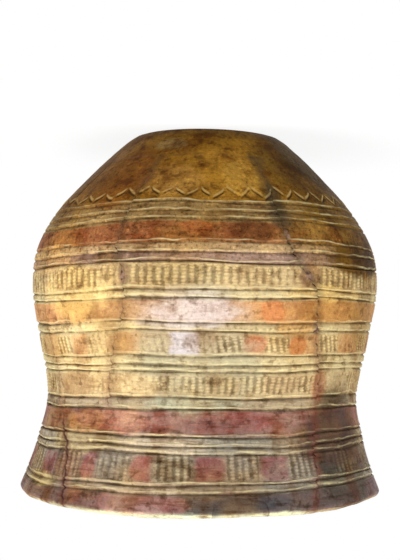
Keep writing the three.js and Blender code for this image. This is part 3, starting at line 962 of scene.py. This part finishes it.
def chip_floor(angle):
    angles, heights = zip(*chip_outline)
    jags = 0.12 * np.sin(angle * 2.3)
    return np.interp(angle, angles, heights, left=PAST_THE_CHIP, right=PAST_THE_CHIP) + jags


for tier, (low, high, sides) in tiers.items():
    for k, (side, path, kind) in enumerate(sides):
        after = sides[(k + 1) % len(sides)]
        if side == "left":
            path = [(z, a - 360) for z, a in path]
        lift, stand, tint = glued[side]
        node = f"{tier}_{side}_sherd"
        notch = chip_floor if node == "rim_front_sherd" else None
        shows = (shows_of[kind], shows_of[after[2]])
        piece = sherd(node + "_clay", low, high, path, after[1], shows, lift, stand, tint, notch)
        finish_piece(piece, fired_clay, "burnished_clay", node)

chip_left, chip_right = [[(0, angle), (HEIGHT, angle)] for angle in (-20.1, -3.2)]
chip = sherd(
    "rim_chip_clay", NOTCH_BASE, HEIGHT, chip_left, chip_right, (0.9, 0.9), tint=0.5, floor=chip_floor
)
finish_piece(chip, fired_clay, "burnished_clay", "rim_chip")

# The fills. Where crumbs of clay were lost along the breaks, a toned filler was pressed in and smoothed
# level, a little smeared over the edges. It is darker and duller than the clay.
filler = bpy.data.materials.new("toned_filler")
filler.use_nodes = True
filler_tree = filler.node_tree
filler_shader = filler_tree.nodes["Principled BSDF"]
filler_spot = add_node(filler_tree, "ShaderNodeTexCoord", None, "Object")
filler_fine, filler_broad = [
    add_node(filler_tree, "ShaderNodeTexNoise", None, "Fac", Vector=filler_spot, Scale=scale, Detail=detail)
    for scale, detail in ((620.0, 5.0), (170.0, 4.0))
]
filler_tone = mixed(filler_fine.step(0.35, 0.65), colour(74, 54, 44), colour(142, 112, 92))
filler_tone = mixed(filler_broad.step(0.42, 0.62) * 0.7, filler_tone, colour(112, 84, 54))
filler_bump = add_node(
    filler_tree, "ShaderNodeBump", None, "Normal", Height=filler_fine * 0.5, Strength=1.0, Distance=MM
)
filler_shader.inputs["Specular IOR Level"].default_value = 0.02
filler_tree.links.new(filler_tone.socket, filler_shader.inputs["Base Color"])
filler_tree.links.new((filler_fine * 0.3 + 0.6).socket, filler_shader.inputs["Roughness"])
filler_tree.links.new(filler_bump.socket, filler_shader.inputs["Normal"])


def fill(name, angle, level, width, tall):
    """A lens of filler, level with the wall in its middle and under it at its ragged edge."""
    deep_in = 2.5
    wide = np.degrees(width / outer_radius(level))

    def shape(u, v, deep):
        x, y = 2 * u - 1, 2 * v - 1
        round_x, round_y = x * np.sqrt(1 - y * y / 2), y * np.sqrt(1 - x * x / 2)
        around = np.arctan2(round_y, round_x)
        swell = 1 + 0.18 * np.sin(3 * around + angle) + 0.12 * np.sin(7 * around + level)
        turn = angle + wide / 2 * round_x * swell
        height = level + tall / 2 * round_y * swell
        away = np.hypot(round_x, round_y)
        here = on_pot(turn, outer_radius(height), height)
        stand = 0.14 - 0.9 * away**4 + 0.14 * clouds(here, 1.6, 71)
        radius = outer_radius(height) + np.where(deep, -deep_in, stand + handwork(turn, height))
        return on_pot(turn, radius, height), {}

    return bent_block(name, 32, 32, shape)


# Each fill: the angle and level of its middle, its width and its height.
for node, angle, level, width, tall in (
    ("fill_belly_left", -32.3, 55, 5, 6),
    ("fill_belly_right", 24.9, 56, 3, 6),
    ("fill_flank_left", -25.3, 41.2, 4.6, 4.2),
    ("fill_neck_left", -37.9, 73, 3, 3.6),
):
    finish_piece(fill(node + "_paste", angle, level, width, tall), filler, "toned_filler", node)

# The floor: a plain white table top that runs out of sight. Close to the beaker it keeps the soft shadow,
# and further out it turns into even white. It throws no more light on the beaker than a grey one.
bm = bmesh.new()
bmesh.ops.create_grid(bm, x_segments=1, y_segments=1, size=3)
floor_mesh = bpy.data.meshes.new("table_top")
bm.to_mesh(floor_mesh)
bm.free()
table_top = bpy.data.objects.new("table_top", floor_mesh)
bpy.context.scene.collection.objects.link(table_top)
table_top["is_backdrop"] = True


def seen_directly(tree):
    """1 where the camera sees it, straight, in a gloss or through glass, and 0 where it lights things."""
    kinds = ("Camera", "Transmission", "Glossy")
    camera, glass, gloss = [add_node(tree, "ShaderNodeLightPath", None, f"Is {kind} Ray") for kind in kinds]
    return (camera + glass + gloss).held()


white = bpy.data.materials.new("white_table")
white.use_nodes = True
white_tree = white.node_tree
white_shader = white_tree.nodes["Principled BSDF"]
white_shader.inputs["Roughness"].default_value = 0.9
white_shader.inputs["Specular IOR Level"].default_value = 0.1
seen = seen_directly(white_tree)
spot = add_node(white_tree, "ShaderNodeTexCoord", None, "Object")
away = add_node(white_tree, "ShaderNodeVectorMath", {"operation": "LENGTH"}, "Value", **{"0": spot})
shown = mixed(seen, (0.5, 0.5, 0.5, 1), (0.95, 0.95, 0.95, 1))
white_tree.links.new(shown.socket, white_shader.inputs["Base Color"])
glow = add_node(white_tree, "ShaderNodeEmission", None, 0, Color=(1, 1, 1, 1), Strength=1.0)
both = white_tree.nodes.new("ShaderNodeMixShader")
white_tree.links.new((seen * (0.86 + away.step(0.04, 0.12) * 0.14)).socket, both.inputs[0])
white_tree.links.new(white_shader.outputs[0], both.inputs[1])
white_tree.links.new(glow.socket, both.inputs[2])
white_tree.links.new(both.outputs[0], white_tree.nodes["Material Output"].inputs["Surface"])
floor_mesh.materials.append(white)

# The light: a dim sky of plain white and four soft lamps. One stands high in front, a little to the right,
# a tall one further off in front and hardly higher than the pot, and one on each side.
world = bpy.data.worlds.new("studio")
bpy.context.scene.world = world
world.use_nodes = True
sky = world.node_tree.nodes["Background"]
sky.inputs["Color"].default_value = (1, 1, 1, 1)
world.node_tree.links.new((seen_directly(world.node_tree) * 0.6 + 0.4).socket, sky.inputs["Strength"])


def lamp(name, place, target, wide, tall, power):
    data = bpy.data.lights.new(name, "AREA")
    data.shape = "RECTANGLE"
    data.size = wide
    data.size_y = tall
    data.energy = power
    made = bpy.data.objects.new(name, data)
    bpy.context.scene.collection.objects.link(made)
    made.location = place
    made.rotation_euler = (Vector(target) - Vector(place)).to_track_quat("-Z", "Y").to_euler()


middle = (0, 0, HEIGHT * MM / 2)
lamp("key_lamp", (0.18, -0.6, 0.75), middle, 0.35, 0.35, 5.3)
lamp("window_lamp", (-0.03, -1.0, 0.3), middle, 0.2, 0.6, 3.2)
lamp("left_lamp", (-0.75, -0.35, 0.5), middle, 0.3, 0.3, 4.4)
lamp("right_lamp", (0.75, -0.35, 0.5), middle, 0.3, 0.3, 4.8)

# The camera. The photograph is printed upside down, so the camera is turned by half a turn about its own
# line of sight. It stands level with the middle of the pot and looks down a little.
CAMERA_AWAY = 0.456
CAMERA_HEIGHT = 0.0743
LOOK_DOWN = 2.45
LOOK_ASIDE = 0.24
LEAN = 1.3
PICTURE_LONG_SIDE = 560
FOCAL_PIXELS = 1169
view = bpy.data.cameras.new("camera")
view.sensor_width = 36
view.lens = view.sensor_width * FOCAL_PIXELS / PICTURE_LONG_SIDE
view.clip_start, view.clip_end = 0.01, 20
camera = bpy.data.objects.new("camera", view)
bpy.context.scene.collection.objects.link(camera)
bpy.context.scene.camera = camera
aside = Matrix.Rotation(math.radians(-LOOK_ASIDE), 4, "Z")
down = Matrix.Rotation(math.radians(90 - LOOK_DOWN), 4, "X")
roll = Matrix.Rotation(math.radians(180 + LEAN), 4, "Z")
camera.matrix_world = Matrix.Translation((0, -CAMERA_AWAY, CAMERA_HEIGHT)) @ aside @ down @ roll
bpy.context.scene.view_settings.view_transform = "Standard"

low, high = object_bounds()
